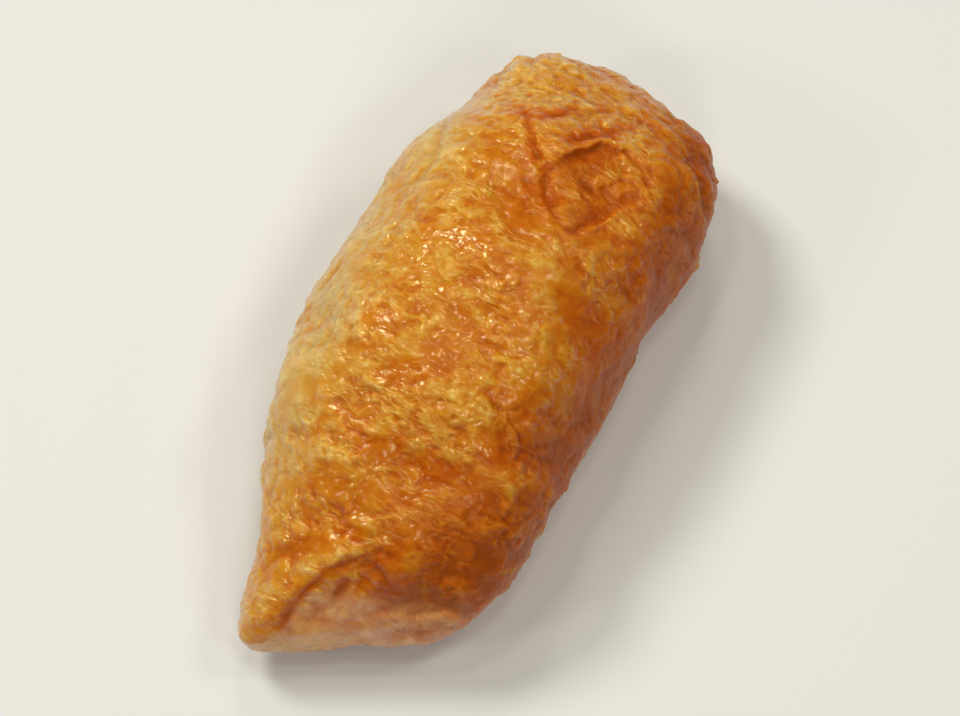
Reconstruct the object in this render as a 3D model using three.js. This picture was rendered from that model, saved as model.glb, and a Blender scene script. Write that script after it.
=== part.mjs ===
// Inari sushi: one pouch of simmered, fried bean curd, stuffed with vinegared rice and closed.
// A single solid of food. Units are millimetres, +Z is up and the piece lies on its underside.
// +X runs along the pouch, from the gathered end with its pinched ear (-X) to the blunt, closed
// end (+X). +Y is the pouch's left side seen from the ear. The origin is at the middle of the
// bounding box, on the surface that the piece rests on.

import * as THREE from "three";
import { mergeVertices } from "three/addons/utils/BufferGeometryUtils.js";

// ---------- named sizes ----------

const HALF_CLOSED = 39.2; // centre to the closed end
const HALF_EAR = 36.6; // centre to the gathered end, without its ear
const PLAN_POWER = 2.8; // how blunt the ends are, seen from above
const SIDE_POWER = 2.5; // and seen from the side
const CROWN_POWER = 2.25; // roundness of the section above its widest level
const BASE_POWER = 2.7; // and below it
const SINK = 1.6; // how far the underside is pressed flat by its own weight
const END_SLANT = 2.6; // the gathered end falls back towards -Y by this much

// sizes at stations along the pouch, every STATION_STEP from STATION_START
const STATION_START = -40;
const STATION_STEP = 10;
const LEFT = [14.0, 14.8, 17.0, 18.8, 19.4, 19.3, 18.9, 18.6, 19.5]; // half width towards +Y
const RIGHT = [17.0, 18.9, 18.9, 17.8, 17.3, 17.0, 18.0, 20.8, 23.0]; // half width towards -Y
const TOP = [17.5, 21.5, 25.5, 28.4, 30.2, 30.8, 30.2, 28.8, 26.0]; // height of the crown
const MID = [8.5, 10.0, 12.0, 12.8, 13.0, 13.0, 13.0, 12.6, 12.0]; // height of the widest level

// the ear: the pouch's corner, pulled out to a blunt point
const EAR_ROOT = [-36.2, 4.6, 8.6];
const EAR_PULL = [-5.6, 2.3, -2.0];
const EAR_REACH = 9.5;

// the closed end keeps one corner of the bean curd sheet as a knob
const KNOB_ROOT = [34.8, 8.0, 19.5];
const KNOB_PULL = [0.6, 0.3, 0.5];
const KNOB_REACH = 7;

// soft swellings and hollows: centre, reach, height (outwards is positive)
const SWELLS = [
  { at: [21.5, -5.0, 28.0], reach: 9, rise: -1.5 }, // pressed-in patch at the closed end
  { at: [-27.2, -7.3, 19.7], reach: 5.5, rise: 1.1 }, // bulge over the gathered end
  { at: [-14.0, -14.5, 20.5], reach: 9, rise: 0.7 }, // swelling below the cross fold
  { at: [29.5, -13.0, 18.0], reach: 9, rise: 0.7 }, // shoulder
  { at: [-4.0, 8.5, 27.0], reach: 12, rise: 0.5 },
];

// folds in the skin: the line that each one follows, its half width and its height
const FOLDS = [
  { line: [[-41, 6, 8], [-36.5, 4.6, 13], [-32.5, 2.6, 16.6], [-28, -0.6, 19.8]], half: 4.2, rise: 1.5 }, // back of the ear
  { line: [[-38.6, 2.2, 5], [-36.2, 1.2, 10.5], [-33.2, -0.2, 15], [-29, -2.6, 18.8], [-26.6, -4.4, 20.4]], half: 2.9, rise: -2.3 }, // crease beside it
  { line: [[-34.5, -3.9, 13.2], [-32.4, -7.4, 14.4], [-29.8, -11.2, 14.4], [-25.7, -15.6, 12]], half: 2.9, rise: -1.4 }, // tucked flap's edge
  { line: [[-34.2, -3, 7], [-31.4, -8, 7.4], [-27, -13.2, 7]], half: 3.4, rise: 0.9 }, // tucked flap
  { line: [[21.9, 4.6, 28], [20.2, 1.4, 28.9], [18.4, -0.2, 29.3], [15.8, -0.8, 29.8], [12.9, -1.2, 30.2]], half: 3.4, rise: -1.1 }, // pinches at the closed end, from here to the shoulder
  { line: [[21.4, 1.2, 28.4], [24.6, -1.2, 27.4], [27.6, -3.4, 26], [29.6, -6, 24.6]], half: 3.0, rise: 1.3 },
  { line: [[24.2, 2.6, 27.5], [27, -1, 26.4], [30.6, -4.4, 24.2]], half: 3.0, rise: -0.9 },
  { line: [[26.6, -5.6, 26.2], [25.4, -8.8, 25.7], [23.4, -11.4, 24.8]], half: 3.2, rise: -0.8 },
  { line: [[13.4, -3.8, 29.9], [16.2, -6.4, 28.8], [19.2, -7.6, 27.9], [22.6, -9, 26.6]], half: 3.0, rise: -1.1 },
  { line: [[13.6, -6.4, 29.2], [18.2, -8.8, 27.6], [23.6, -11, 25.2]], half: 2.8, rise: 0.9 },
  { line: [[12.8, -3, 30.1], [11.6, -5.4, 29.7], [12, -8.2, 28.9]], half: 3.0, rise: -0.6 },
  { line: [[-7.4, -7.4, 27.9], [-9.3, -11, 25.8], [-10, -13.4, 23.8], [-8.4, -15.6, 20.8], [-5.6, -17.4, 15.6]], half: 3.6, rise: -1.2 }, // cross fold on the right flank
  { line: [[30.6, -9.8, 21.8], [33.2, -12.8, 17.6], [34.4, -14, 12]], half: 2.4, rise: -1.0 },
];

// uneven lumps of the rice under the skin
const LUMP_WAVES = 14;
const LUMP_LENGTH = 13; // typical distance between lumps
const LUMP_RISE = 0.3;

const MESH_DETAIL = 18; // each face of the starting icosahedron is split this often

// ---------- helpers ----------

// smooth curve through a table of station sizes
function along(table, x) {
  const n = table.length;
  const last = STATION_START + STATION_STEP * (n - 1);
  const t = (Math.min(Math.max(x, STATION_START), last) - STATION_START) / STATION_STEP;
  const i = Math.min(Math.floor(t), n - 2);
  const f = t - i;
  const at = (k) => table[Math.min(Math.max(k, 0), n - 1)];
  const [p0, p1, p2, p3] = [at(i - 1), at(i), at(i + 1), at(i + 2)];
  return (
    0.5 *
    (2 * p1 +
      (p2 - p0) * f +
      (2 * p0 - 5 * p1 + 4 * p2 - p3) * f * f +
      (3 * p1 - p0 - 3 * p2 + p3) * f * f * f)
  );
}

// the plain stuffed pouch: where a unit direction meets its skin
function pouch(d) {
  const c = Math.abs(d.x);
  const s = Math.min(1 - Math.pow(1 - c, PLAN_POWER / 2), 1 - 1e-9);
  const x = Math.sign(d.x) * s * (d.x > 0 ? HALF_CLOSED : HALF_EAR);
  const plan = Math.pow(1 - Math.pow(s, PLAN_POWER), 1 / PLAN_POWER);
  const side = Math.pow(1 - Math.pow(s, SIDE_POWER), 1 / SIDE_POWER);
  const angle = Math.atan2(d.z, d.y);
  const cy = Math.cos(angle);
  const sz = Math.sin(angle);
  const mid = along(MID, x);
  const width = Math.max(along(cy > 0 ? LEFT : RIGHT, x) * plan, 1e-4);
  const height = Math.max((sz > 0 ? along(TOP, x) - mid : mid + SINK) * side, 1e-4);
  const power = sz > 0 ? CROWN_POWER : BASE_POWER;
  const reach = Math.pow(
    Math.pow(Math.abs(cy) / width, power) + Math.pow(Math.abs(sz) / height, power),
    -1 / power,
  );
  return new THREE.Vector3(x, reach * cy, mid + reach * sz);
}

const smooth = (t) => t * t * (3 - 2 * t);
const ramp = (a, b, v) => smooth(Math.min(Math.max((v - a) / (b - a), 0), 1));

// distance from p to a line of short segments, and how far along it the nearest point lies (0 to 1)
function toLine(p, line) {
  let best = { distance: Infinity, share: 0 };
  const segment = new THREE.Line3();
  const near = new THREE.Vector3();
  for (let i = 0; i + 1 < line.length; i++) {
    segment.set(line[i], line[i + 1]);
    const t = segment.closestPointToPointParameter(p, true);
    segment.at(t, near);
    const distance = near.distanceTo(p);
    if (distance < best.distance) best = { distance, share: (i + t) / (line.length - 1) };
  }
  return best;
}

// pulls the skin around a point
function pull(p, root, by, reach) {
  const s = p.distanceTo(root) / reach;
  if (s < 1) p.addScaledVector(by, (1 - s * s) ** 2);
}

// outwards from the pouch's middle line
function outwards(p) {
  const core = 22;
  const axis = new THREE.Vector3(Math.min(Math.max(p.x, -core), core), 0, along(MID, p.x));
  return p.clone().sub(axis).normalize();
}

// the rice's lumps: waves in evenly spread directions
function lumps(p) {
  let sum = 0;
  const golden = Math.PI * (3 - Math.sqrt(5));
  for (let k = 0; k < LUMP_WAVES; k++) {
    const z = 1 - (2 * (k + 0.5)) / LUMP_WAVES;
    const r = Math.sqrt(1 - z * z);
    const f = (2 * Math.PI) / (LUMP_LENGTH * (0.8 + (0.45 * ((k * 5) % 7)) / 6));
    sum += Math.sin(
      f * (p.x * r * Math.cos(golden * k) + p.y * r * Math.sin(golden * k) + p.z * z) + 1.7 * k,
    );
  }
  return (LUMP_RISE * sum) / Math.sqrt(LUMP_WAVES / 2);
}

// ---------- the skin ----------

const vector = (a) => new THREE.Vector3(...a);
const folds = FOLDS.map((f) => ({ ...f, line: f.line.map(vector) }));
const swells = SWELLS.map((s) => ({ ...s, at: vector(s.at) }));

function skin(d) {
  const p = pouch(d);
  // the gathered end is cut back on its right
  p.x += END_SLANT * ramp(-22, -36, p.x) * ramp(1, -14, p.y);
  const out = outwards(p);
  let rise = lumps(p);
  for (const s of swells) {
    const t = p.distanceTo(s.at) / s.reach;
    if (t < 1) rise += s.rise * (1 - t * t) ** 2;
  }
  for (const f of folds) {
    const { distance, share } = toLine(p, f.line);
    const t = distance / f.half;
    if (t < 1) rise += f.rise * (1 - t) ** 1.4 * (1 + t) * Math.sqrt(Math.sin(Math.PI * (0.06 + 0.88 * share)));
  }
  p.addScaledVector(out, rise);
  pull(p, vector(EAR_ROOT), vector(EAR_PULL), EAR_REACH);
  pull(p, vector(KNOB_ROOT), vector(KNOB_PULL), KNOB_REACH);
  p.z = Math.max(p.z, 0); // the flat spot that the piece rests on
  return p;
}

const geometry = mergeVertices(
  (() => {
    const start = new THREE.IcosahedronGeometry(1, MESH_DETAIL);
    start.deleteAttribute("normal");
    start.deleteAttribute("uv");
    return start;
  })(),
  1e-5,
);
const position = geometry.getAttribute("position");
for (let i = 0; i < position.count; i++) {
  const d = new THREE.Vector3().fromBufferAttribute(position, i).normalize();
  const p = skin(d);
  position.setXYZ(i, p.x, p.y, p.z);
}
geometry.computeBoundingBox();
const box = geometry.boundingBox;
geometry.translate(-(box.min.x + box.max.x) / 2, -(box.min.y + box.max.y) / 2, -box.min.z);
geometry.computeVertexNormals();

const inari = new THREE.Mesh(
  geometry,
  new THREE.MeshStandardMaterial({ color: 0xc98436, roughness: 0.38, metalness: 0 }),
);
inari.name = "inari_pouch";

const part = new THREE.Group();
part.add(inari);

export default part;
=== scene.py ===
import math

import bpy
import numpy as np
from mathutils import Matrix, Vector


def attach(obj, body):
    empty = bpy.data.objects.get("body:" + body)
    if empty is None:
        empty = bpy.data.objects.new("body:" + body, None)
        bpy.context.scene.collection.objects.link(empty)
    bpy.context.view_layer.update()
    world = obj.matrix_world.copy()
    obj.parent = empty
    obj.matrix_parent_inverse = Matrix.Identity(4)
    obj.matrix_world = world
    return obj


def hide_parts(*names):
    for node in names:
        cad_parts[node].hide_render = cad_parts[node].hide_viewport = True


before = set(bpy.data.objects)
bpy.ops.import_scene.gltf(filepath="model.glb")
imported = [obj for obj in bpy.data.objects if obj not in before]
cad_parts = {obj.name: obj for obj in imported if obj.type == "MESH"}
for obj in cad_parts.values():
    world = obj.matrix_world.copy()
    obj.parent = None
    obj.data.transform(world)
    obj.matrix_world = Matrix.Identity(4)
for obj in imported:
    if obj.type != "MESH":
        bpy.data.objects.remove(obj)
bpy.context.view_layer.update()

MM = 0.001

# the photograph's view
AZIMUTH, ELEVATION = math.radians(-60.8), math.radians(72.0)
RIGHT_WAY = Vector((math.cos(AZIMUTH), math.sin(AZIMUTH), 0))
BACK = Vector((math.sin(AZIMUTH) * math.cos(ELEVATION), -math.cos(AZIMUTH) * math.cos(ELEVATION), math.sin(ELEVATION)))
UP_WAY = BACK.cross(RIGHT_WAY)

# =====================================================================================
# 1. The pouch's form, in millimetres. The tables are those of the CAD solid, and the
#    folds are sharper here, with many smaller ones between them.
# =====================================================================================

SHIFT = np.array([1.1745, -1.0495, 0.0])  # from the tables' coordinates to the row frame

HALF_CLOSED = 39.2
HALF_EAR = 36.6
PLAN_POWER = 2.8
SIDE_POWER = 2.5
CROWN_POWER = 2.25
BASE_POWER = 2.7
SINK = 1.6
END_SLANT = 2.6
STATION_START, STATION_STEP = -40.0, 10.0
LEFT = [14.0, 14.8, 17.0, 18.8, 19.4, 19.3, 18.9, 18.6, 19.5]
RIGHT = [17.0, 18.9, 18.9, 17.8, 17.3, 17.0, 18.0, 20.8, 23.0]
TOP = [17.5, 21.5, 25.5, 28.4, 30.2, 30.8, 30.2, 28.8, 26.0]
MID = [8.5, 10.0, 12.0, 12.8, 13.0, 13.0, 13.0, 12.6, 12.0]

EAR_ROOT, EAR_PULL, EAR_REACH = (-36.2, 4.6, 8.6), (-5.6, 2.3, -2.0), 9.5
KNOB_ROOT, KNOB_PULL, KNOB_REACH = (34.8, 8.0, 19.5), (0.6, 0.3, 0.5), 7.0

# centre, reach, height
SWELLS = [
    ((21.5, -5.0, 28.0), 9.0, -1.5),
    ((-27.2, -7.3, 19.7), 5.5, 1.1),
    ((-14.0, -14.5, 20.5), 9.0, 0.7),
    ((29.5, -13.0, 18.0), 9.0, 0.7),
    ((-4.0, 8.5, 27.0), 12.0, 0.5),
]

# line, half width, height
FOLDS = [
    # the ear's back and the crease beside it
    ([(-41, 6, 8), (-36.5, 4.6, 13), (-32.5, 2.6, 16.6), (-28, -0.6, 19.8)], 4.2, 1.5),
    ([(-38.6, 2.2, 5), (-36.2, 1.2, 10.5), (-33.2, -0.2, 15), (-29, -2.6, 18.8), (-26.6, -4.4, 20.4)], 3.4, -0.5),
    # the flap that is tucked in at this end
    ([(-34.5, -3.9, 13.2), (-32.4, -7.4, 14.4), (-29.8, -11.2, 14.4), (-25.7, -15.6, 12)], 3.0, -0.5),
    ([(-34.2, -3, 7), (-31.4, -8, 7.4), (-27, -13.2, 7)], 3.4, 0.6),
    # pinches at the closed end
    ([(21.9, 4.6, 28), (20.2, 1.4, 28.9), (18.4, -0.2, 29.3), (15.8, -0.8, 29.8), (12.9, -1.2, 30.2)], 3.2, -0.5),
    ([(21.4, 1.2, 28.4), (24.6, -1.2, 27.4), (27.6, -3.4, 26), (29.6, -6, 24.6)], 3.0, 0.5),
    ([(26.6, -5.6, 26.2), (25.4, -8.8, 25.7), (23.4, -11.4, 24.8)], 3.2, -0.5),
    ([(13.4, -3.8, 29.9), (16.2, -6.4, 28.8), (19.2, -7.6, 27.9), (22.6, -9, 26.6)], 3.0, -0.5),
    # the cross fold on the right flank, and the shoulder
    ([(-7.4, -7.4, 27.9), (-9.3, -11, 25.8), (-10, -13.4, 23.8), (-8.4, -15.6, 20.8), (-5.6, -17.4, 15.6)], 3.4, -0.8),
    ([(30.6, -9.8, 21.8), (33.2, -12.8, 17.6), (34.4, -14, 12)], 2.4, -0.6),
]


def at(*places):
    """Places in the photograph, in its pixels of 0.2 mm, as millimetres right of and above the form's middle."""
    return [((x - 280.06) * 0.2, (367.13 - y) * 0.2) for x, y in places]


# kind, line in the photograph's view, half width, height
STROKES = [
    # gathered end
    ("crease", at((173, 524), (177, 513), (187, 503), (199, 491), (215, 487), (230, 480)), 0.65, 0.28),
    ("ridge", at((160, 534), (170, 514), (187, 499), (209, 481), (238, 471)), 0.8, 0.22),
    ("crease", at((200, 511), (205, 503), (212, 494)), 0.45, 0.28),
    ("crease", at((226, 479), (228, 489), (233, 499), (243, 505), (253, 504)), 0.5, 0.26),
    ("step", at((292, 516), (281, 518.5), (268, 516), (252, 518), (232, 516), (214, 521)), 0.6, 0.26),
    ("ridge", at((166, 545), (177, 534), (186, 520)), 0.5, 0.20),
    ("crease", at((272, 527), (256, 529), (240, 528), (226, 533)), 0.6, 0.16),
    # closed end
    ("crease", at((312, 222), (317, 236), (320, 249), (327, 260), (326, 272), (331, 288)), 0.5, 0.34),
    ("lip", at((329, 252), (336, 248.5), (343, 245), (351, 244), (358, 241), (367, 242.5), (377, 242)), 1.0, 0.32),
    ("crease", at((337, 243), (349, 237), (362, 236.5), (371, 233.5), (379, 232)), 0.55, 0.27),
    ("step", at((391, 281), (385, 271), (381, 258), (374, 249), (369, 243)), 0.7, 0.22),
    ("crease", at((337, 295), (345, 292), (353, 287), (361, 284), (370, 277), (379, 274)), 0.5, 0.29),
    ("ridge", at((348, 296), (356, 291.5), (363, 286), (372, 281.5), (386, 276)), 0.45, 0.28),
    ("crease", at((331, 290), (337, 303), (347, 312), (351, 322)), 0.6, 0.17),
    ("crease", at((411, 249), (418, 257), (426, 263)), 0.6, 0.30),
    ("crease", at((323, 228), (331, 225), (343, 222), (352, 226)), 0.5, 0.26),
    ("crease", at((352, 226), (358, 222), (366, 221)), 0.4, 0.20),
    # middle and right flank
    ("step", at((345, 428), (331, 430), (319, 427), (311, 420), (306, 409), (292, 393)), 0.9, 0.17),
    ("crease", at((217, 461), (229, 459), (239, 453), (254, 446)), 0.6, 0.13),
]

LUMP_WAVES, LUMP_LENGTH, LUMP_RISE = 14, 13.0, 0.3

# the skin's mesh: rows along the tube, columns round it, and rings over each end
COLUMNS = 336
TUBE_ROWS = 244


def along(table, x):
    v = np.asarray(table, float)
    n = len(v)
    last = STATION_START + STATION_STEP * (n - 1)
    t = (np.clip(x, STATION_START, last) - STATION_START) / STATION_STEP
    i = np.minimum(np.floor(t).astype(int), n - 2)
    f = t - i
    p0, p1, p2, p3 = (v[np.clip(i + k, 0, n - 1)] for k in (-1, 0, 1, 2))
    return 0.5 * (2 * p1 + (p2 - p0) * f + (2 * p0 - 5 * p1 + 4 * p2 - p3) * f ** 2
                  + (3 * p1 - p0 - 3 * p2 + p3) * f ** 3)


def smooth(t):
    t = np.clip(t, 0, 1)
    return t * t * (3 - 2 * t)


def ramp(a, b, v):
    return smooth((v - a) / (b - a))


def unit(v):
    return v / np.maximum(np.linalg.norm(v, axis=-1, keepdims=True), 1e-12)


def pouch(s, angle):
    """The plain pouch. s runs from -1 to 1 between its two end points, angle goes round it."""
    s_abs = np.minimum(np.abs(s), 1 - 1e-9)
    x = np.sign(s) * s_abs * np.where(s > 0, HALF_CLOSED, HALF_EAR)
    plan = (1 - s_abs ** PLAN_POWER) ** (1 / PLAN_POWER)
    side = (1 - s_abs ** SIDE_POWER) ** (1 / SIDE_POWER)
    cy, sz = np.cos(angle), np.sin(angle)
    mid = along(MID, x)
    width = np.maximum(np.where(cy > 0, along(LEFT, x), along(RIGHT, x)) * plan, 1e-4)
    height = np.maximum(np.where(sz > 0, along(TOP, x) - mid, mid + SINK) * side, 1e-4)
    power = np.where(sz > 0, CROWN_POWER, BASE_POWER)
    reach = ((np.abs(cy) / width) ** power + (np.abs(sz) / height) ** power) ** (-1 / power)
    return np.stack([x, reach * cy, mid + reach * sz], -1)


def even(f, low, high, weight=None, n=4000):
    """Turns a share from 0 to 1 into a parameter, so that equal shares are equal lengths of the curve f."""
    t = np.linspace(low, high, n)
    p = f(t)
    step = np.linalg.norm(np.diff(p, axis=0), axis=1)
    if weight is not None:
        step = step * weight(0.5 * (t[1:] + t[:-1]))
    total = np.concatenate([[0], np.cumsum(step)])
    total /= total[-1]
    return lambda share: np.interp(share, total, t)


def skin_grid():
    """Quads over the whole skin: a tube, closed at each end by a square patch. Returns s, angle and the quads."""
    side = COLUMNS // 4
    half = side // 2
    # the s values along a middle meridian, as a parameter that is dense where the end turns in
    turn = lambda t: pouch(np.sign(t) * (1 - (1 - np.abs(t)) ** 2.2), np.full_like(t, 0.9))
    meridian = even(turn, -1, 1)
    rows = TUBE_ROWS + 2 * half
    girth = even(lambda a: pouch(np.zeros_like(a), a), -math.pi, math.pi,
                 weight=lambda a: 0.62 + 0.38 * ramp(-0.2, 0.25, np.sin(a + 0.0) + 0.75))
    s_of = lambda share: (lambda t: np.sign(t) * (1 - (1 - np.abs(t)) ** 2.2))(meridian(share))

    index = {}
    s_list, a_list, quads = [], [], []
    # tube
    tube = np.arange((TUBE_ROWS + 1) * COLUMNS).reshape(TUBE_ROWS + 1, COLUMNS)
    shares = (np.arange(TUBE_ROWS + 1) + half) / rows
    angles = girth((np.arange(COLUMNS) + 0.5) / COLUMNS)
    s_list.append(np.repeat(s_of(shares), COLUMNS))
    a_list.append(np.tile(angles, TUBE_ROWS + 1))
    right = np.roll(tube, -1, axis=1)
    quads.append(np.stack([tube[:-1], right[:-1], right[1:], tube[1:]], -1).reshape(-1, 4))
    count = tube.size
    # end patches: squares whose rim is the tube's first or last ring
    for end in (0, 1):
        ring = tube[0] if end == 0 else tube[-1]
        grid = np.full((side + 1, side + 1), -1)
        k = np.arange(side)
        grid[0, k], grid[k, side], grid[side, side - k], grid[side - k, 0] = (
            ring[k], ring[side + k], ring[2 * side + k], ring[3 * side + k])
        inner = np.arange((side - 1) ** 2).reshape(side - 1, side - 1) + count
        grid[1:-1, 1:-1] = inner
        count += inner.size
        i, j = np.meshgrid(np.arange(1, side), np.arange(1, side), indexing="ij")
        a, b = (i - half) / half, (j - half) / half  # rows, then columns, -1 to 1
        r = np.maximum(np.abs(a), np.abs(b))
        safe = np.where(r > 0, r, 1)
        u, v = a / safe, b / safe
        # place along the rim, counted in columns from the square's first corner
        place = np.where(u <= -1 + 1e-9, (v + 1) / 2,
                np.where(v >= 1 - 1e-9, 1 + (u + 1) / 2,
                np.where(u >= 1 - 1e-9, 2 + (1 - v) / 2, 3 + (1 - u) / 2))) * side
        # spread the squares' rings into rounder ones on the way to the middle
        angle = girth(((place + 0.5) / COLUMNS) % 1.0)
        share = r * half / rows
        s = s_of(share if end == 0 else 1 - share)
        s = np.where(r == 0, -1.0 if end == 0 else 1.0, s)
        s_list.append(s.ravel())
        a_list.append(angle.ravel())
        q = np.stack([grid[:-1, :-1], grid[:-1, 1:], grid[1:, 1:], grid[1:, :-1]], -1).reshape(-1, 4)
        quads.append(q[:, ::-1] if end == 0 else q)
    return np.concatenate(s_list), np.concatenate(a_list), np.concatenate(quads)


class Skin:
    """The skin's points and quads, with what the relief needs."""

    def __init__(self, points, quads):
        self.p = points
        self.q = quads
        edges = np.concatenate([quads[:, [0, 1]], quads[:, [1, 2]], quads[:, [2, 3]], quads[:, [3, 0]]])
        edges = np.unique(np.sort(edges, axis=1), axis=0)
        self.a, self.b = edges[:, 0], edges[:, 1]
        self.n = len(points)
        self.degree = np.bincount(self.a, minlength=self.n) + np.bincount(self.b, minlength=self.n)

    def normals(self):
        p, q = self.p, self.q
        face = np.cross(p[q[:, 2]] - p[q[:, 0]], p[q[:, 3]] - p[q[:, 1]])
        out = np.stack([sum(np.bincount(q[:, k], weights=face[:, c], minlength=self.n) for k in range(4))
                        for c in range(3)], -1)
        return unit(out)

    def mean(self, value):
        """Each point's neighbours' mean of a value, one number or three."""
        value = np.asarray(value, float)
        flat = value.reshape(self.n, -1)
        out = np.stack([
            np.bincount(self.a, weights=flat[self.b, c], minlength=self.n)
            + np.bincount(self.b, weights=flat[self.a, c], minlength=self.n)
            for c in range(flat.shape[1])], -1) / self.degree[:, None]
        return out.reshape(value.shape)

    def blurred(self, value, steps, keep=0.5):
        for _ in range(steps):
            value = keep * value + (1 - keep) * self.mean(value)
        return value


def to_line(p, line):
    """Distance to a line of segments, share along it, and the side: above 0 on the line's left seen from outside."""
    line = np.asarray(line, float)
    best = np.full(len(p), np.inf)
    share = np.zeros(len(p))
    near = np.zeros_like(p)
    way = np.zeros_like(p)
    for i in range(len(line) - 1):
        a, b = line[i], line[i + 1]
        ab = b - a
        t = np.clip(((p - a) @ ab) / (ab @ ab), 0, 1)
        foot = a + t[:, None] * ab
        d = np.linalg.norm(p - foot, axis=1)
        hit = d < best
        best = np.where(hit, d, best)
        share = np.where(hit, (i + t) / (len(line) - 1), share)
        near[hit] = foot[hit]
        way[hit] = ab
    return best, share, near, unit(way)


# ---------- noise ----------

def scramble(ix, iy, iz, seed):
    with np.errstate(over="ignore"):
        h = (ix.astype(np.uint32) * np.uint32(0x8DA6B343)) ^ (iy.astype(np.uint32) * np.uint32(0xD8163841))
        h ^= (iz.astype(np.uint32) * np.uint32(0xCB1AB31F)) ^ np.uint32((seed * 0x9E3779B1) & 0xFFFFFFFF)
        h ^= h >> np.uint32(15)
        h *= np.uint32(0x2C1B3C6D)
        h ^= h >> np.uint32(12)
        h *= np.uint32(0x297A2D39)
        h ^= h >> np.uint32(15)
    return h


GRADIENTS = unit(np.array([[math.cos(2.39996 * k) * math.sqrt(1 - (1 - (2 * k + 1) / 32) ** 2),
                            math.sin(2.39996 * k) * math.sqrt(1 - (1 - (2 * k + 1) / 32) ** 2),
                            1 - (2 * k + 1) / 32] for k in range(32)]))


def noise(p, seed=0):
    """Gradient noise, about -1 to 1, with features about one unit apart."""
    cell = np.floor(p).astype(np.int64)
    f = p - cell
    w = f ** 3 * (f * (f * 6 - 15) + 10)
    out = np.zeros(len(p))
    for dx in (0, 1):
        for dy in (0, 1):
            for dz in (0, 1):
                h = scramble(cell[:, 0] + dx, cell[:, 1] + dy, cell[:, 2] + dz, seed) & np.uint32(31)
                g = GRADIENTS[h]
                dot = g[:, 0] * (f[:, 0] - dx) + g[:, 1] * (f[:, 1] - dy) + g[:, 2] * (f[:, 2] - dz)
                out += dot * (w[:, 0] if dx else 1 - w[:, 0]) * (w[:, 1] if dy else 1 - w[:, 1]) * (
                    w[:, 2] if dz else 1 - w[:, 2])
    return out * 1.6


def warp(p, size, by, seed):
    """Points pushed about by noise of this feature size."""
    q = p / size
    return p + by * np.stack([noise(q, seed), noise(q + 17.3, seed + 1), noise(q - 9.1, seed + 2)], -1)


def near_square(p, seed=0):
    """Squared distance to the nearest of scattered points, one to each unit cell."""
    cell = np.floor(p).astype(np.int64)
    f1 = np.full(len(p), 9.0)
    for dx in (-1, 0, 1):
        for dy in (-1, 0, 1):
            for dz in (-1, 0, 1):
                c = cell + np.array([dx, dy, dz])
                h = scramble(c[:, 0], c[:, 1], c[:, 2], seed)
                q = np.stack([(h & np.uint32(1023)) / 1023.0, ((h >> np.uint32(10)) & np.uint32(1023)) / 1023.0,
                              ((h >> np.uint32(20)) & np.uint32(1023)) / 1023.0], -1)
                f1 = np.minimum(f1, np.sum((c + q - p) ** 2, axis=1))
    return f1


def cells(p, seed=0):
    """The nearest of scattered points, one to each unit cell: its distance, the second's, its number and place."""
    cell = np.floor(p).astype(np.int64)
    f1, f2 = np.full(len(p), 9.0), np.full(len(p), 9.0)
    who = np.zeros(len(p), np.int64)
    place = np.zeros_like(p)
    for dx in (-1, 0, 1):
        for dy in (-1, 0, 1):
            for dz in (-1, 0, 1):
                c = cell + np.array([dx, dy, dz])
                h = scramble(c[:, 0], c[:, 1], c[:, 2], seed)
                q = c + np.stack([(h & np.uint32(1023)) / 1023.0, ((h >> np.uint32(10)) & np.uint32(1023)) / 1023.0,
                                  ((h >> np.uint32(20)) & np.uint32(1023)) / 1023.0], -1)
                d = np.sum((q - p) ** 2, axis=1)
                closer = d < f1
                f2 = np.where(closer, f1, np.minimum(f2, d))
                f1 = np.where(closer, d, f1)
                who = np.where(closer, h.astype(np.int64), who)
                place[closer] = q[closer]
    return np.sqrt(f1), np.sqrt(f2), who, place


# =====================================================================================
# 2. The skin
# =====================================================================================

def lumps(p):
    out = np.zeros(len(p))
    golden = math.pi * (3 - math.sqrt(5))
    for k in range(LUMP_WAVES):
        z = 1 - (2 * (k + 0.5)) / LUMP_WAVES
        r = math.sqrt(1 - z * z)
        f = 2 * math.pi / (LUMP_LENGTH * (0.8 + (0.45 * ((k * 5) % 7)) / 6))
        out += np.sin(f * (p @ np.array([r * math.cos(golden * k), r * math.sin(golden * k), z])) + 1.7 * k)
    return LUMP_RISE * out / math.sqrt(LUMP_WAVES / 2)


def pull(p, root, by, reach):
    s = np.linalg.norm(p - np.array(root), axis=1) / reach
    return p + np.array(by) * ((np.clip(1 - s * s, 0, 1)) ** 2)[:, None]


def large_form(s, angle):
    p = pouch(s, angle)
    p[:, 0] += END_SLANT * ramp(-22, -36, p[:, 0]) * ramp(1, -14, p[:, 1])
    axis = np.stack([np.clip(p[:, 0], -22, 22), np.zeros(len(p)), along(MID, p[:, 0])], -1)
    out = unit(p - axis)
    rise = lumps(p)
    for at, reach, height in SWELLS:
        t = np.linalg.norm(p - np.array(at), axis=1) / reach
        rise += height * np.clip(1 - t * t, 0, 1) ** 2
    for line, half, height in FOLDS:
        d, share, _, _ = to_line(p, line)
        t = np.clip(d / half, 0, 1)
        rise += height * (1 - t) ** 1.4 * (1 + t) * np.sqrt(np.sin(math.pi * (0.06 + 0.88 * share)))
    p = p + out * rise[:, None]
    p = pull(p, EAR_ROOT, EAR_PULL, EAR_REACH)
    return pull(p, KNOB_ROOT, KNOB_PULL, KNOB_REACH)


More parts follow.
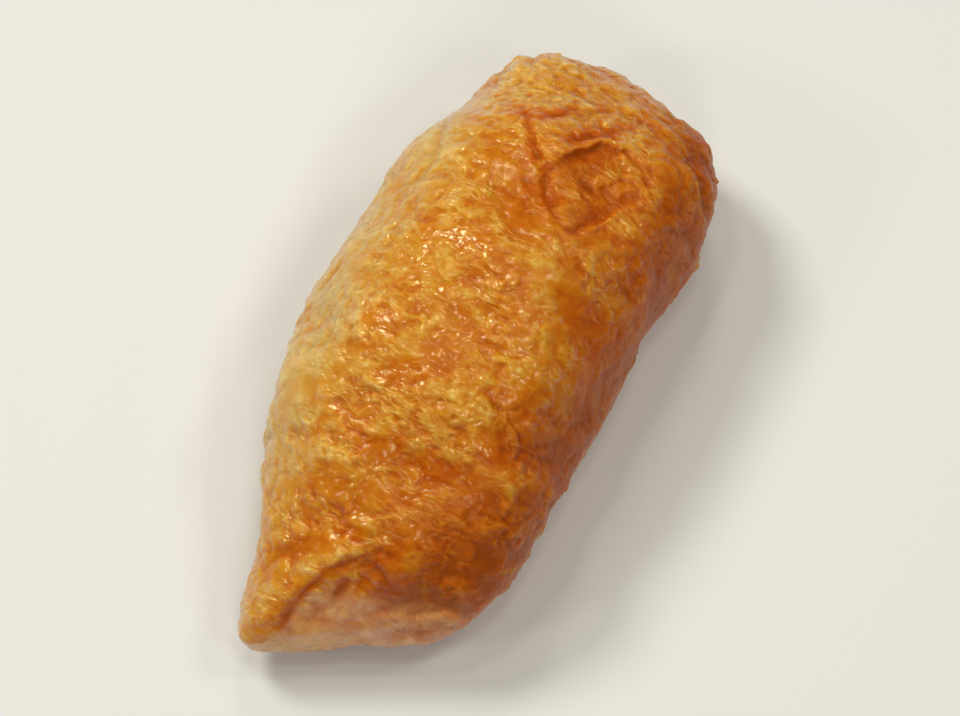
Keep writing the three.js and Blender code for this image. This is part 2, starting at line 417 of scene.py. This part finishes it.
def seen(p):
    """Where points lie in the photograph's view: millimetres to the right and upwards from the form's middle."""
    right = p[:, 0] * math.cos(AZIMUTH) + p[:, 1] * math.sin(AZIMUTH)
    up = (-p[:, 0] * math.sin(AZIMUTH) + p[:, 1] * math.cos(AZIMUTH)) * math.sin(ELEVATION) + (
        p[:, 2] - 14) * math.cos(ELEVATION)
    return np.stack([right, up], -1)


def strokes(skin, n):
    """The single folds that this piece has, drawn on its upper side: their height, and the shade painted into them,
    with a painted highlight on the lip's crest.
    """
    q = seen(skin.p)
    # the drawn lines waver a little
    q = q + 0.28 * np.stack([noise(skin.p / 2.2, 90), noise(skin.p / 2.2 + 7.7, 91)], -1)
    facing = ramp(0.02, 0.25, n @ np.array(BACK))
    uneven = 0.85 + 0.4 * noise(skin.p / 3.1, 92)
    total = np.zeros(skin.n)
    painted_shade = np.zeros(skin.n)
    for kind, line, half, height in STROKES:
        line = np.asarray(line, float)
        room = 4 * half + 1.5
        lo, hi = line.min(0) - room, line.max(0) + room
        pick = np.where(np.all((q > lo) & (q < hi), axis=1) & (facing > 0))[0]
        if not len(pick):
            continue
        best = np.full(len(pick), np.inf)
        share = np.zeros(len(pick))
        side = np.zeros(len(pick))
        for i in range(len(line) - 1):
            a, ab = line[i], line[i + 1] - line[i]
            t = np.clip(((q[pick] - a) @ ab) / (ab @ ab), 0, 1)
            off = q[pick] - a - t[:, None] * ab
            d = np.hypot(off[:, 0], off[:, 1])
            hit = d < best
            best = np.where(hit, d, best)
            share = np.where(hit, (i + t) / (len(line) - 1), share)
            cross = (ab[0] * off[:, 1] - ab[1] * off[:, 0]) / math.hypot(*ab)
            side = np.where(hit, cross, side)
        taper = np.sqrt(np.clip(np.sin(math.pi * (0.03 + 0.94 * share)), 0, 1))
        end = np.exp(-np.clip(best - np.abs(side), 0, None) / 0.5)
        t = best / half
        shade = np.zeros(len(pick))
        if kind == "crease":  # a narrow valley with rounded shoulders
            shape = -np.exp(-1.6 * t ** 1.4) + 0.25 * np.exp(-((t - 2.1) / 1.0) ** 2)
            # painted shade in the crease's valley
            shade = np.exp(-(best / (half + 0.25)) ** 2)
        elif kind == "ridge":  # a narrow crest
            shape = np.exp(-1.5 * t ** 1.4)
        elif kind == "lip":  # a thin raised edge: a dip on the line's left, a hollow that it overhangs on its right
            u = side
            below = np.clip(-u - 0.75, 0, None)
            shape = (1.2 * np.exp(-(u / 0.60) ** 2) - 0.55 * np.exp(-((u - 1.3) / 0.6) ** 2)
                     - 1.35 * smooth((-u - 0.15) / 0.6) * np.exp(-(below / 1.5) ** 1.5)) * end
            # painted shadow in the hollow under the lip and in the dip above it, and a painted highlight on its crest
            # (the part below 0)
            shade = (smooth((-u - 0.2) / 0.5) * np.exp(-(below / 1.3) ** 1.3) + 0.5 * np.exp(-((u - 1.2) / 0.5) ** 2)
                     - 0.55 * np.exp(-(u / 0.45) ** 2)) * end
        else:  # a step: the skin on the line's left lies over the skin on its right
            u = side / half
            shape = np.where(u > 0, 1 - 1.45 * np.exp(-(u + 0.25) * 2.2), -0.55 - 0.1 * u) * np.exp(-0.35 * t ** 2)
            # painted shadow on the lower skin, under the edge of the skin that lies over it
            shade = 0.8 * smooth(-side / 0.3 + 0.3) * np.exp(-(best / 0.7) ** 2)
        total[pick] += height * shape * taper * facing[pick] * uneven[pick]
        # each point keeps the strongest painted shade, and the strongest painted highlight where the value is below 0
        shade = shade * min(1.0, (height / 0.34) ** 1.5) * taper * facing[pick] * np.clip(0.2 + uneven[pick], 0, 1.2)
        painted_shade[pick] = np.where(shade < 0, np.minimum(painted_shade[pick], shade), np.maximum(painted_shade[pick], shade))
    return total, painted_shade


def crumpled(p, seed):
    """Flat facets that meet in sharp straight ridges and valleys, as in crumpled foil: about -1 to 1."""
    return (near_square(p, seed) - near_square(p + 0.37, seed + 40)) * 1.6


def relief(skin):
    """Pillows, folds, plates and wrinkles of the fried skin, largest first. Returns the fields that colour it."""
    fields = {}
    p = skin.p
    across = np.array([1.22, 0.92, 0.92])  # the skin is creased across the pouch more than along it
    # from taut, smooth skin (0) to tight crumples (1)
    crumple = smooth(0.60 + 0.7 * noise(p / 10.0, 50) + 0.35 * noise(p / 4.5, 51))
    left_flank = ramp(4, 16, p[:, 1]) * ramp(32.5, 23, p[:, 2]) * ramp(32, 20, p[:, 0]) * (0.25 + 0.75 * ramp(7, 13, p[:, 2]))
    end_face = ramp(-30, -34, p[:, 0]) * ramp(18, 13, p[:, 2]) * ramp(3.5, -0.5, p[:, 1])
    top_end = ramp(24, 31, p[:, 0]) * ramp(5, 11, p[:, 2])
    crumple = crumple * (1 - 0.12 * left_flank) * (1 - 0.35 * end_face)
    crumple = np.maximum(crumple, 0.85 * top_end)
    hollow = np.exp(-np.sum(((p - np.array([22.0, -6.0, 27.0])) / 7.5) ** 2, 1))
    crumple = np.maximum(crumple, 0.75 * hollow)
    calm = (1 - 0.7 * ramp(4.5, 1.2, p[:, 2])) * (1 - 0.08 * left_flank) * (1 - 0.2 * end_face)

    # soft pillows
    n = skin.normals()
    puff = noise(warp(p, 9.0, 2.0, 30) * np.array([1.2, 0.88, 0.88]) / 7.5, 31)
    billow = np.abs(noise(warp(p, 7.0, 1.8, 3) * across / 4.8, 7)) * 2.0 - 0.6
    bands = noise(warp(p, 8.0, 2.4, 33) * np.array([1.4, 0.66, 0.66]) / 4.6, 35)
    mid = 0.19 * puff + 0.11 * billow * (0.4 + 0.7 * crumple) + 0.12 * bands * (0.5 + 0.6 * crumple)
    skin.p = p + n * (mid * calm)[:, None]

    # this piece's own folds
    n = unit(skin.blurred(skin.normals(), 6))
    # the second value is the shade painted into the folds, below 0 on the lip's crest where a highlight is painted
    rise, fold = strokes(skin, n)
    skin.p = skin.p + n * (rise + wander(skin, n, 4, 130) * calm)[:, None]

    # facets of about 5 mm, then plates that lean each its own way, with grooves between them that come and go
    n = unit(skin.blurred(skin.normals(), 4))
    w = warp(skin.p, 8.0, 1.75, 15) * across / 5.0
    skin.p = skin.p + n * (0.16 * crumpled(w, 5) * (0.35 + 0.85 * crumple) * calm)[:, None]
    groove = np.zeros(skin.n)
    plate = np.zeros(skin.n)
    for size, slope, deep, weight, seed in ((4.2, 0.080, 0.09, 1.0, 11), (2.1, 0.12, 0.075, 0.7, 12)):
        n = unit(skin.blurred(skin.normals(), 3))
        w = warp(skin.p, size * 1.1, size * 0.42, seed * 3) * across / size
        f1, f2, who, middle = cells(w, seed)
        edge = f2 - f1
        lean = np.sum((w - middle) * GRADIENTS[who & 31], 1) * smooth(edge / 0.24)
        cut = np.exp(-(edge / 0.16) ** 1.4) * smooth(0.55 + 1.2 * noise(skin.p / (size * 1.2), seed + 70))
        strength = (0.35 + 0.85 * crumple) * calm
        skin.p = skin.p + n * ((slope * size * lean - deep * cut) * strength)[:, None]
        groove = np.maximum(groove, weight * cut * np.clip(0.3 + crumple, 0, 1))
        plate += weight * (((who >> 7) & 255) / 255.0 - 0.5)

    # patches of crinkles: on the raised parts, smooth skin in the hollows
    raised = mid - skin.blurred(mid, 120)
    patch = smooth(0.55 + 1.3 * noise(warp(skin.p, 5.0, 1.8, 61) * across / 3.8, 60) + 1.2 * raised)
    patch = np.maximum(patch * (0.45 + 0.55 * crumple), top_end * smooth(0.75 + 0.8 * noise(skin.p / 3.0, 64)))
    patch = np.maximum(patch, hollow * smooth(0.62 + 0.9 * noise(skin.p / 2.4, 65)))
    n = unit(skin.blurred(skin.normals(), 2))
    w = warp(skin.p, 2.8, 0.6, 24) * across / 1.6
    rise = 0.078 * crumpled(w, 8) * (0.20 + 1.0 * patch)
    # thin crests that run across the pouch
    w = warp(skin.p, 3.0, 1.3, 21) * np.array([1.4, 0.72, 0.72])
    ridge = np.clip(1 - np.abs(noise(w / 2.2, 13)) * 3.4, 0, 1) ** 1.4
    rise += 0.10 * ridge * (0.15 + 0.85 * patch)
    skin.p = skin.p + n * (rise * calm)[:, None]

    # colour fields: 0 to 1. Some carry painted light and shade: the folds, the right flank and the left flank
    fields["patch"] = patch
    fields["groove"] = skin.blurred(groove, 1)
    fields["plate"] = skin.blurred(plate, 4)
    fields["fold"] = fold
    # painted light: the material makes the left flank paler, as the side toward the light
    fields["left"] = left_flank
    # the gathered end's face, as seen in the photograph's view
    q = seen(p)
    above = -27.2 - 0.114 * (q[:, 0] + 19.0)
    beside = -19.8 + 0.73 * (q[:, 1] + 29.2)
    fields["pink"] = (ramp(above + 1.0, above - 1.2, q[:, 1]) * ramp(beside - 0.4, beside + 0.8, q[:, 0])
                      * ramp(-18, -31, p[:, 0]) * ramp(22, 17, p[:, 2]))
    fields["calm"] = calm
    fields["top"] = top_end
    # crest lines, which the material paints paler, as a painted highlight
    fields["crest"] = skin.blurred(ridge * (0.15 + 0.85 * patch), 1)
    # painted shade: the right flank and the hollow at the closed end are made darker, as the places away from the
    # light
    painted_shade_side = ramp(-1.5, -11.5, p[:, 1]) * ramp(30, 19, p[:, 2])
    painted_shade_side = np.maximum(painted_shade_side, 0.36 * hollow)
    fields["deep"] = painted_shade_side * (1 - end_face) * (0.25 + 0.75 * ramp(6, 16, p[:, 2]))
    return fields


def settle(s, angle, quads, rounds=160):
    """Slides the grid's points over the plain pouch until they lie evenly: closer at the narrow folds, wider below."""
    skin = Skin(pouch(s, angle), quads)
    p = skin.p

    def density(p):
        near = np.full(len(p), 9.0)
        q = seen(p)
        for _, line, half, _ in STROKES:
            line = np.asarray(line, float)
            for a, b in zip(line[:-1], line[1:]):
                ab = b - a
                t = np.clip(((q - a) @ ab) / (ab @ ab), 0, 1)
                near = np.minimum(near, np.linalg.norm(q - a - t[:, None] * ab, axis=1))
        upper = ramp(8, 14, p[:, 2])
        return (1 + 1.5 * np.exp(-(near / 1.3) ** 2) * upper) * (0.55 + 0.45 * ramp(1.5, 7, p[:, 2]))

    for k in range(rounds):
        if k % 20 == 0:
            w = density(p)
            pull_of = (w[skin.a] + w[skin.b]) / 2
            total = (np.bincount(skin.a, weights=pull_of, minlength=skin.n)
                     + np.bincount(skin.b, weights=pull_of, minlength=skin.n))
        gap = (p[skin.b] - p[skin.a]) * pull_of[:, None]
        step = np.stack([np.bincount(skin.a, weights=gap[:, c], minlength=skin.n)
                         - np.bincount(skin.b, weights=gap[:, c], minlength=skin.n) for c in range(3)], -1)
        p = p + 0.7 * step / total[:, None]
        # back on to the pouch
        s = np.clip(p[:, 0] / np.where(p[:, 0] > 0, HALF_CLOSED, HALF_EAR), -1, 1)
        angle = np.arctan2(p[:, 2] - along(MID, p[:, 0]), p[:, 1])
        p = pouch(s, angle)
    return s, angle


def make_skin():
    s, angle, quads = skin_grid()
    s, angle = settle(s, angle, quads)
    skin = Skin(large_form(s, angle), quads)
    for _ in range(3):
        n = skin.normals()
        step = skin.mean(skin.p) - skin.p
        skin.p = skin.p + 0.3 * (step - n * np.sum(step * n, 1, keepdims=True))
    fields = relief(skin)
    skin.p[:, 2] = np.maximum(skin.p[:, 2], 0)
    # height above the neighbourhood, at two scales
    n = skin.normals()
    near = skin.blurred(skin.p, 14)
    far = skin.blurred(near, 150)
    fields["near"] = np.sum((skin.p - near) * n, 1)
    fields["far"] = np.sum((near - far) * n, 1)
    return skin, fields


def wander(skin, n, seed, count):
    """Longer creases at scattered places, mostly across the pouch: returns how deep each point lies in one."""
    rng = np.random.default_rng(seed)
    depth = np.zeros(skin.n)
    for _ in range(count):
        i = int(rng.integers(skin.n))
        if skin.p[i, 2] < 6:
            continue
        along_x = np.array([1.0, 0, 0])
        turn = rng.normal(0, 0.55) + (math.pi / 2) * rng.choice([-1, 1])
        length, half, deep = rng.uniform(3, 9), rng.uniform(0.45, 0.9), rng.uniform(0.05, 0.15)
        if n[i] @ np.array(BACK) < 0.35:  # the flanks have longer and deeper ones
            length, half, deep = 1.6 * length, 1.3 * half, 3.2 * deep
        line = [skin.p[i]]
        for _ in range(int(length / 1.1)):
            m = n[i]
            e = unit(along_x - m * (along_x @ m))
            f = np.cross(m, e)
            turn += rng.normal(0, 0.22)
            spot = line[-1] + 1.1 * (e * math.cos(turn) + f * math.sin(turn))
            i = int(np.argmin(np.sum((skin.p - spot) ** 2, 1)))
            line.append(skin.p[i])
        line = np.array(line)
        pick = np.where(np.all((skin.p > line.min(0) - 3) & (skin.p < line.max(0) + 3), axis=1))[0]
        d, share, _, _ = to_line(skin.p[pick], line)
        t = d / half
        taper = np.sqrt(np.clip(np.sin(math.pi * (0.03 + 0.94 * share)), 0, 1))
        depth[pick] -= deep * taper * (np.exp(-1.6 * t ** 1.4) - 0.3 * np.exp(-((t - 2.1) / 1.0) ** 2))
    return depth


skin, fields = make_skin()
points = (skin.p + SHIFT) * MM

mesh = bpy.data.meshes.new("inari_skin")
mesh.from_pydata(points.tolist(), [], skin.q.tolist())
mesh.polygons.foreach_set("use_smooth", np.ones(len(mesh.polygons), bool))
for name, value in fields.items():
    layer = mesh.attributes.new(name, "FLOAT", "POINT")
    layer.data.foreach_set("value", value.astype(np.float32))
mesh.update()
piece = bpy.data.objects.new("inari_skin", mesh)
bpy.context.scene.collection.objects.link(piece)
print("triangles", 2 * len(skin.q), "box mm", skin.p.min(0) + SHIFT, skin.p.max(0) + SHIFT)
for name, value in fields.items():
    print(name, np.percentile(value, [1, 10, 50, 90, 99]).round(3))


# =====================================================================================
# 3. Materials
# =====================================================================================

class Nodes:
    """Short ways to add shader nodes."""

    def __init__(self, material):
        material.use_nodes = True
        self.tree = material.node_tree
        self.tree.nodes.clear()

    def add(self, kind, **settings):
        node = self.tree.nodes.new(kind)
        for key, value in settings.items():
            setattr(node, key, value)
        return node

    def link(self, source, target):
        self.tree.links.new(source, target)

    def put(self, socket, value):
        if isinstance(value, bpy.types.NodeSocket):
            self.link(value, socket)
        else:
            socket.default_value = value

    def math(self, operation, a, b=0.0, clamp=False):
        node = self.add("ShaderNodeMath", operation=operation, use_clamp=clamp)
        self.put(node.inputs[0], a)
        self.put(node.inputs[1], b)
        return node.outputs[0]

    def span(self, value, low, high, to_low=0.0, to_high=1.0):
        node = self.add("ShaderNodeMapRange", interpolation_type="SMOOTHSTEP")
        self.put(node.inputs["Value"], value)
        node.inputs["From Min"].default_value = low
        node.inputs["From Max"].default_value = high
        node.inputs["To Min"].default_value = to_low
        node.inputs["To Max"].default_value = to_high
        return node.outputs["Result"]

    def mix(self, share, a, b, blend="MIX"):
        node = self.add("ShaderNodeMix", data_type="RGBA", blend_type=blend)
        self.put(node.inputs["Factor"], share)
        self.put(node.inputs[6], a)
        self.put(node.inputs[7], b)
        return node.outputs[2]

    def field(self, name):
        return self.add("ShaderNodeAttribute", attribute_name=name).outputs["Fac"]

    def noise(self, vector, per_mm, detail=3.0, rough=0.55, distort=0.0, ridged=False):
        node = self.add("ShaderNodeTexNoise")
        if ridged:
            node.noise_type = "RIDGED_MULTIFRACTAL"
        self.link(vector, node.inputs["Vector"])
        node.inputs["Scale"].default_value = per_mm
        node.inputs["Detail"].default_value = detail
        node.inputs["Roughness"].default_value = rough
        node.inputs["Distortion"].default_value = distort
        return node.outputs["Fac"]


def colour(r, g, b):
    """A colour given as sRGB, 0 to 255."""
    out = []
    for v in (r, g, b):
        v /= 255
        out.append(v / 12.92 if v <= 0.04045 else ((v + 0.055) / 1.055) ** 2.4)
    return (*out, 1.0)


def skin_material():
    material = bpy.data.materials.new("bean_curd_skin")
    t = Nodes(material)
    place = t.add("ShaderNodeTexCoord").outputs["Object"]
    scale = t.add("ShaderNodeMapping")
    t.link(place, scale.inputs["Vector"])
    scale.inputs["Scale"].default_value = (1000, 1000, 1000)  # millimetres
    mm = scale.outputs["Vector"]

    # left is where light is painted on the lit flank, deep where shade is painted on the shaded flank and hollow
    near, far, patch = t.field("near"), t.field("far"), t.field("patch")
    left, pink, deep = t.field("left"), t.field("pink"), t.field("deep")

    # facets and grain finer than the mesh
    def facets(size, across, seed):
        """The sharp facets of crumpled skin, as a height."""
        turn = t.add("ShaderNodeMapping")
        t.link(warped, turn.inputs["Vector"])
        turn.inputs["Scale"].default_value = (across / size, across ** -0.5 / size, across ** -0.5 / size)
        squares = []
        for k in (0, 1):
            shift = t.add("ShaderNodeVectorMath", operation="ADD")
            t.link(turn.outputs["Vector"], shift.inputs[0])
            shift.inputs[1].default_value = (seed + 3.7 * k, 2.3 * seed - k, 5.1 * k)
            cell = t.add("ShaderNodeTexVoronoi", feature="F1")
            t.link(shift.outputs["Vector"], cell.inputs["Vector"])
            cell.inputs["Scale"].default_value = 1.0
            squares.append(t.math("POWER", cell.outputs["Distance"], 2.0))
        return t.math("SUBTRACT", squares[0], squares[1])

    drift = t.add("ShaderNodeTexNoise")
    t.link(mm, drift.inputs["Vector"])
    drift.inputs["Scale"].default_value = 0.45
    drift.inputs["Detail"].default_value = 1.0
    push = t.add("ShaderNodeVectorMath", operation="MULTIPLY_ADD")
    t.link(drift.outputs["Color"], push.inputs[0])
    push.inputs[1].default_value = (1.6, 1.6, 1.6)
    t.link(mm, push.inputs[2])
    warped = push.outputs["Vector"]

    coarse, fine = facets(1.5, 1.25, 4.0), facets(0.8, 1.2, 11.0)

    def wrinkles(turned, seed, size):
        """Thin crests that run one way, in some places only, as a height from 0 to 1."""
        turn = t.add("ShaderNodeMapping")
        t.link(warped, turn.inputs["Vector"])
        turn.inputs["Location"].default_value = (seed, 2 * seed, -seed)
        turn.inputs["Rotation"].default_value = (0, 0, math.radians(turned))
        turn.inputs["Scale"].default_value = (1 / size, 0.36 / size, 0.6 / size)
        wave = t.noise(turn.outputs["Vector"], 1.0, 1.0, 0.5)
        crest = t.math("SUBTRACT", 1.0, t.math("MULTIPLY", t.math("ABSOLUTE", t.math("SUBTRACT", wave, 0.5)), 6.5))
        crest = t.math("POWER", t.math("MAXIMUM", crest, 0.0), 1.4)
        where = t.add("ShaderNodeVectorMath", operation="ADD")
        t.link(mm, where.inputs[0])
        where.inputs[1].default_value = (3.1 * seed, -7 * seed, seed)
        return t.math("MULTIPLY", crest, t.span(t.noise(where.outputs["Vector"], 0.21, 1.0, 0.5), 0.44, 0.58))

    wrinkled = t.math("ADD", t.math("ADD", wrinkles(8, 3, 1.0), wrinkles(58, 7, 0.9)), wrinkles(-48, 12, 0.9))
    height = t.math("ADD", t.math("MULTIPLY", coarse, 0.25), t.math("MULTIPLY", fine, 0.13))
    height = t.math("ADD", height, t.math("MULTIPLY", wrinkled, 0.14))
    height = t.math("MULTIPLY", height, t.span(patch, 0.05, 0.80, 0.25, 1.2))
    height = t.math("MULTIPLY", height, t.span(t.field("calm"), 0.25, 0.95, 0.02, 1.0))
    height = t.math("ADD", height, t.math("MULTIPLY", t.noise(mm, 4.0, 1.0, 0.6), 0.018))

    # the skin lets light through: it is pale where it is thin, and saturated where it is thick, folded or holds broth.
    # Light and shade are
    # painted into it too: hollows, grooves and folds darker as shaded places, raised parts and crests paler as lit
    # ones. One number says how pale, from 0 to 1.
    # painted light: the left flank is paler
    tone = t.math("ADD", t.span(t.noise(mm, 0.085, 3.0, 0.6, 0.4), 0.36, 0.66, 0.445, 0.375), t.math("MULTIPLY", left, 0.32))
    # painted shade: the right flank and the closed end's hollow are darker
    tone = t.math("SUBTRACT", tone, t.math("MULTIPLY", deep, 0.38))
    # hollows darker and raised parts paler, at two scales: partly broth that pools in the hollows, partly painted
    # shade and light
    tone = t.math("ADD", tone, t.span(far, -0.5, 0.5, -0.10, 0.07))
    tone = t.math("ADD", tone, t.span(near, -0.14, 0.13, -0.11, 0.085))
    tone = t.math("ADD", tone, t.math("MULTIPLY", t.field("plate"), 0.08))
    # painted shade: the grooves between plates are darker
    tone = t.math("SUBTRACT", tone, t.math("MULTIPLY", t.field("groove"), 0.16))
    # painted shade in the folds, and a painted highlight on the lip's crest where the field is below 0
    fold = t.field("fold")
    tone = t.math("SUBTRACT", tone, t.math("MULTIPLY", fold, 0.34))
    # painted light: raised bumps, wrinkles and crest lines are paler, as where light catches them, and the hollows
    # between them darker
    tone = t.math("ADD", tone, t.math("MULTIPLY", height, 0.29))
    tone = t.math("ADD", tone, t.math("MULTIPLY", wrinkled, 0.11))
    tone = t.math("ADD", tone, t.math("MULTIPLY", t.field("crest"), 0.13))
    tone = t.math("ADD", tone, t.math("MULTIPLY", t.field("top"), 0.07))
    tone = t.math("ADD", tone, t.span(patch, 0.1, 0.9, -0.04, 0.02))
    tone = t.math("ADD", tone, t.span(t.noise(mm, 1.3, 2.0, 0.65, 0.3), 0.35, 0.70, 0.03, -0.03))
    skin_tones = t.add("ShaderNodeValToRGB")
    stops = skin_tones.color_ramp.elements
    while len(stops) < 6:
        stops.new(0.5)
    for stop, (where, tint) in zip(stops, ((0.0, (154, 61, 0)), (0.2, (181, 81, 0)), (0.42, (195, 109, 4)),
                                           (0.62, (203, 137, 34)), (0.82, (211, 160, 82)), (1.0, (226, 190, 130)))):
        stop.position = where
        stop.color = colour(*tint)
    t.link(tone, skin_tones.inputs["Fac"])
    base = skin_tones.outputs["Color"]
    base = t.mix(t.span(t.noise(mm, 0.30, 2.0, 0.6, 0.8), 0.54, 0.72, 0, 0.27), base, colour(192, 90, 12))
    base = t.mix(t.span(t.noise(mm, 0.17, 2.0, 0.5, 0.5), 0.60, 0.74, 0, 0.28), base, colour(212, 146, 6))
    cloudy = t.span(t.noise(mm, 0.33, 2.0, 0.6, 0.6), 0.38, 0.62)
    # painted light: the left flank is mixed toward pale cream, as the lit side
    painted_light_share = t.math("MULTIPLY", t.span(t.noise(mm, 0.5, 2.0, 0.6, 0.5), 0.35, 0.65, 0.34, 0.76), t.span(tone, 0.48, 0.80, 0.40, 1.0))
    base = t.mix(t.math("MULTIPLY", left, painted_light_share), base, t.mix(cloudy, colour(196, 146, 84), colour(194, 162, 106)))
    base = t.mix(t.math("MULTIPLY", pink, t.span(t.noise(mm, 0.45, 2.0, 0.6, 0.5), 0.36, 0.60, 0.40, 0.85)), base, t.mix(cloudy, colour(200, 134, 106), colour(217, 163, 122)))
    # painted shade: the right flank is mixed toward a dark orange
    base = t.mix(t.math("MULTIPLY", deep, 0.32), base, colour(156, 74, 0))
    # painted shade: the folds take a darker saturated orange
    in_fold = t.span(fold, 0.05, 0.85)
    base = t.mix(t.math("MULTIPLY", in_fold, 0.55), base, colour(180, 78, 4))

    # satin, a little drier at the gathered end's face
    gloss = t.noise(mm, 0.9, 2.0, 0.6, 0.3)
    rough = t.math("ADD", t.span(gloss, 0.3, 0.7, 0.26, 0.42), t.math("MULTIPLY", t.math("ADD", pink, deep), 0.12))

    bump = t.add("ShaderNodeBump")
    bump.inputs["Strength"].default_value = 1.0
    bump.inputs["Distance"].default_value = 0.001
    t.link(height, bump.inputs["Height"])
    # the flesh under the wet surface is smoother than the surface itself
    halfway = t.add("ShaderNodeVectorMath", operation="ADD")
    t.link(bump.outputs["Normal"], halfway.inputs[0])
    t.link(t.add("ShaderNodeNewGeometry").outputs["Normal"], halfway.inputs[1])
    flesh = t.add("ShaderNodeVectorMath", operation="NORMALIZE")
    t.link(halfway.outputs["Vector"], flesh.inputs[0])

    shader = t.add("ShaderNodeBsdfPrincipled")
    t.link(base, shader.inputs["Base Color"])
    t.link(rough, shader.inputs["Roughness"])
    t.link(flesh.outputs["Vector"], shader.inputs["Normal"])
    t.link(bump.outputs["Normal"], shader.inputs["Coat Normal"])
    shader.inputs["IOR"].default_value = 1.42
    shader.inputs["Specular IOR Level"].default_value = 0.34
    shader.inputs["Specular Tint"].default_value = (1.0, 0.83, 0.38, 1.0)
    shader.inputs["Subsurface Weight"].default_value = 0.9
    shader.inputs["Subsurface Radius"].default_value = (1.0, 0.36, 0.10)
    shader.inputs["Subsurface Scale"].default_value = 0.0018
    wet = t.math("MULTIPLY", t.span(deep, 0.1, 1.0, 1.0, 0.30), t.span(left, 0.2, 1.0, 1.0, 0.60))
    wet = t.math("MULTIPLY", wet, t.math("SUBTRACT", 1.0, t.math("MULTIPLY", in_fold, 0.7)))
    t.link(t.math("MULTIPLY", wet, t.span(tone, 0.22, 0.50, 0.50, 1.0)), shader.inputs["Coat Weight"])
    shader.inputs["Coat Roughness"].default_value = 0.085
    shader.inputs["Coat IOR"].default_value = 1.46
    out = t.add("ShaderNodeOutputMaterial")
    t.link(shader.outputs["BSDF"], out.inputs["Surface"])
    return material


piece.data.materials.append(skin_material())
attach(piece, "root")
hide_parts("inari_pouch")

# =====================================================================================
# 4. Stage, light and camera
# =====================================================================================

floor_mesh = bpy.data.meshes.new("floor")
floor_mesh.from_pydata([(-2, -2, 0), (2, -2, 0), (2, 2, 0), (-2, 2, 0)], [], [(0, 1, 2, 3)])
floor = bpy.data.objects.new("floor", floor_mesh)
bpy.context.scene.collection.objects.link(floor)
floor_material = bpy.data.materials.new("pale_floor")
t = Nodes(floor_material)
floor_shader = t.add("ShaderNodeBsdfPrincipled")
floor_place = t.add("ShaderNodeTexCoord").outputs["Object"]
floor_tone = t.add("ShaderNodeTexNoise")
t.link(floor_place, floor_tone.inputs["Vector"])
floor_tone.inputs["Scale"].default_value = 3.0
t.link(t.mix(t.span(floor_tone.outputs["Fac"], 0.3, 0.7), (0.68, 0.66, 0.94, 1), (0.71, 0.69, 0.97, 1)),
       floor_shader.inputs["Base Color"])
floor_shader.inputs["Roughness"].default_value = 0.6
floor_out = t.add("ShaderNodeOutputMaterial")
t.link(floor_shader.outputs["BSDF"], floor_out.inputs["Surface"])
floor.data.materials.append(floor_material)

MM_PER_PIXEL = 0.1176
DISTANCE = 0.9
AIM = (Vector((1.1745, -1.0495, 14.0)) + 1.47 * RIGHT_WAY - 0.2 * UP_WAY) * MM

camera_data = bpy.data.cameras.new("camera")
camera_data.sensor_fit = "HORIZONTAL"
camera_data.sensor_width = 36
camera_data.lens = 36 * DISTANCE / (960 * MM_PER_PIXEL * MM)
camera_data.clip_start, camera_data.clip_end = 0.01, 20
camera = bpy.data.objects.new("camera", camera_data)
camera.location = AIM + BACK * DISTANCE
camera.rotation_mode = "QUATERNION"
camera.rotation_quaternion = BACK.to_track_quat("Z", "Y")
bpy.context.scene.collection.objects.link(camera)
bpy.context.scene.camera = camera

# soft lights, placed as seen in the picture
GROUND_UP = Vector((-math.sin(AZIMUTH), math.cos(AZIMUTH), 0))


def area_light(name, right, up, height, size, power, tint=(1, 1, 1)):
    data = bpy.data.lights.new(name, "AREA")
    data.shape = "DISK"
    data.size = size
    data.energy = power
    data.color = tint
    light = bpy.data.objects.new(name, data)
    light.location = right * RIGHT_WAY + up * GROUND_UP + Vector((0, 0, height))
    light.rotation_mode = "QUATERNION"
    light.rotation_quaternion = light.location.to_track_quat("Z", "Y")
    bpy.context.scene.collection.objects.link(light)
    return light


area_light("key", -0.34, 0.28, 0.62, 0.22, 2.95, (0.97, 1.0, 0.64))
area_light("over", 0.06, -0.03, 0.75, 0.11, 0.55, (0.98, 0.98, 0.60))
area_light("right", 0.34, 0.10, 0.62, 0.14, 0.65, (0.98, 0.98, 0.62))
area_light("back", 0.02, 0.42, 0.55, 0.13, 0.60, (0.98, 0.98, 0.62))
area_light("front", 0.04, -0.42, 0.50, 0.16, 0.65, (0.98, 0.98, 0.62))
area_light("low left", -0.46, -0.16, 0.44, 0.09, 0.35, (0.97, 1.0, 0.68))
area_light("low right", 0.26, -0.24, 0.62, 0.08, 0.30, (0.97, 1.0, 0.68))
area_light("high left", -0.12, 0.14, 0.78, 0.08, 0.40, (0.97, 1.0, 0.68))

world = bpy.data.worlds.new("world")
bpy.context.scene.world = world
world.use_nodes = True
world.node_tree.nodes["Background"].inputs["Color"].default_value = (1, 0.965, 0.62, 1)
world.node_tree.nodes["Background"].inputs["Strength"].default_value = 0.16

bpy.context.scene.view_settings.view_transform = "Standard"
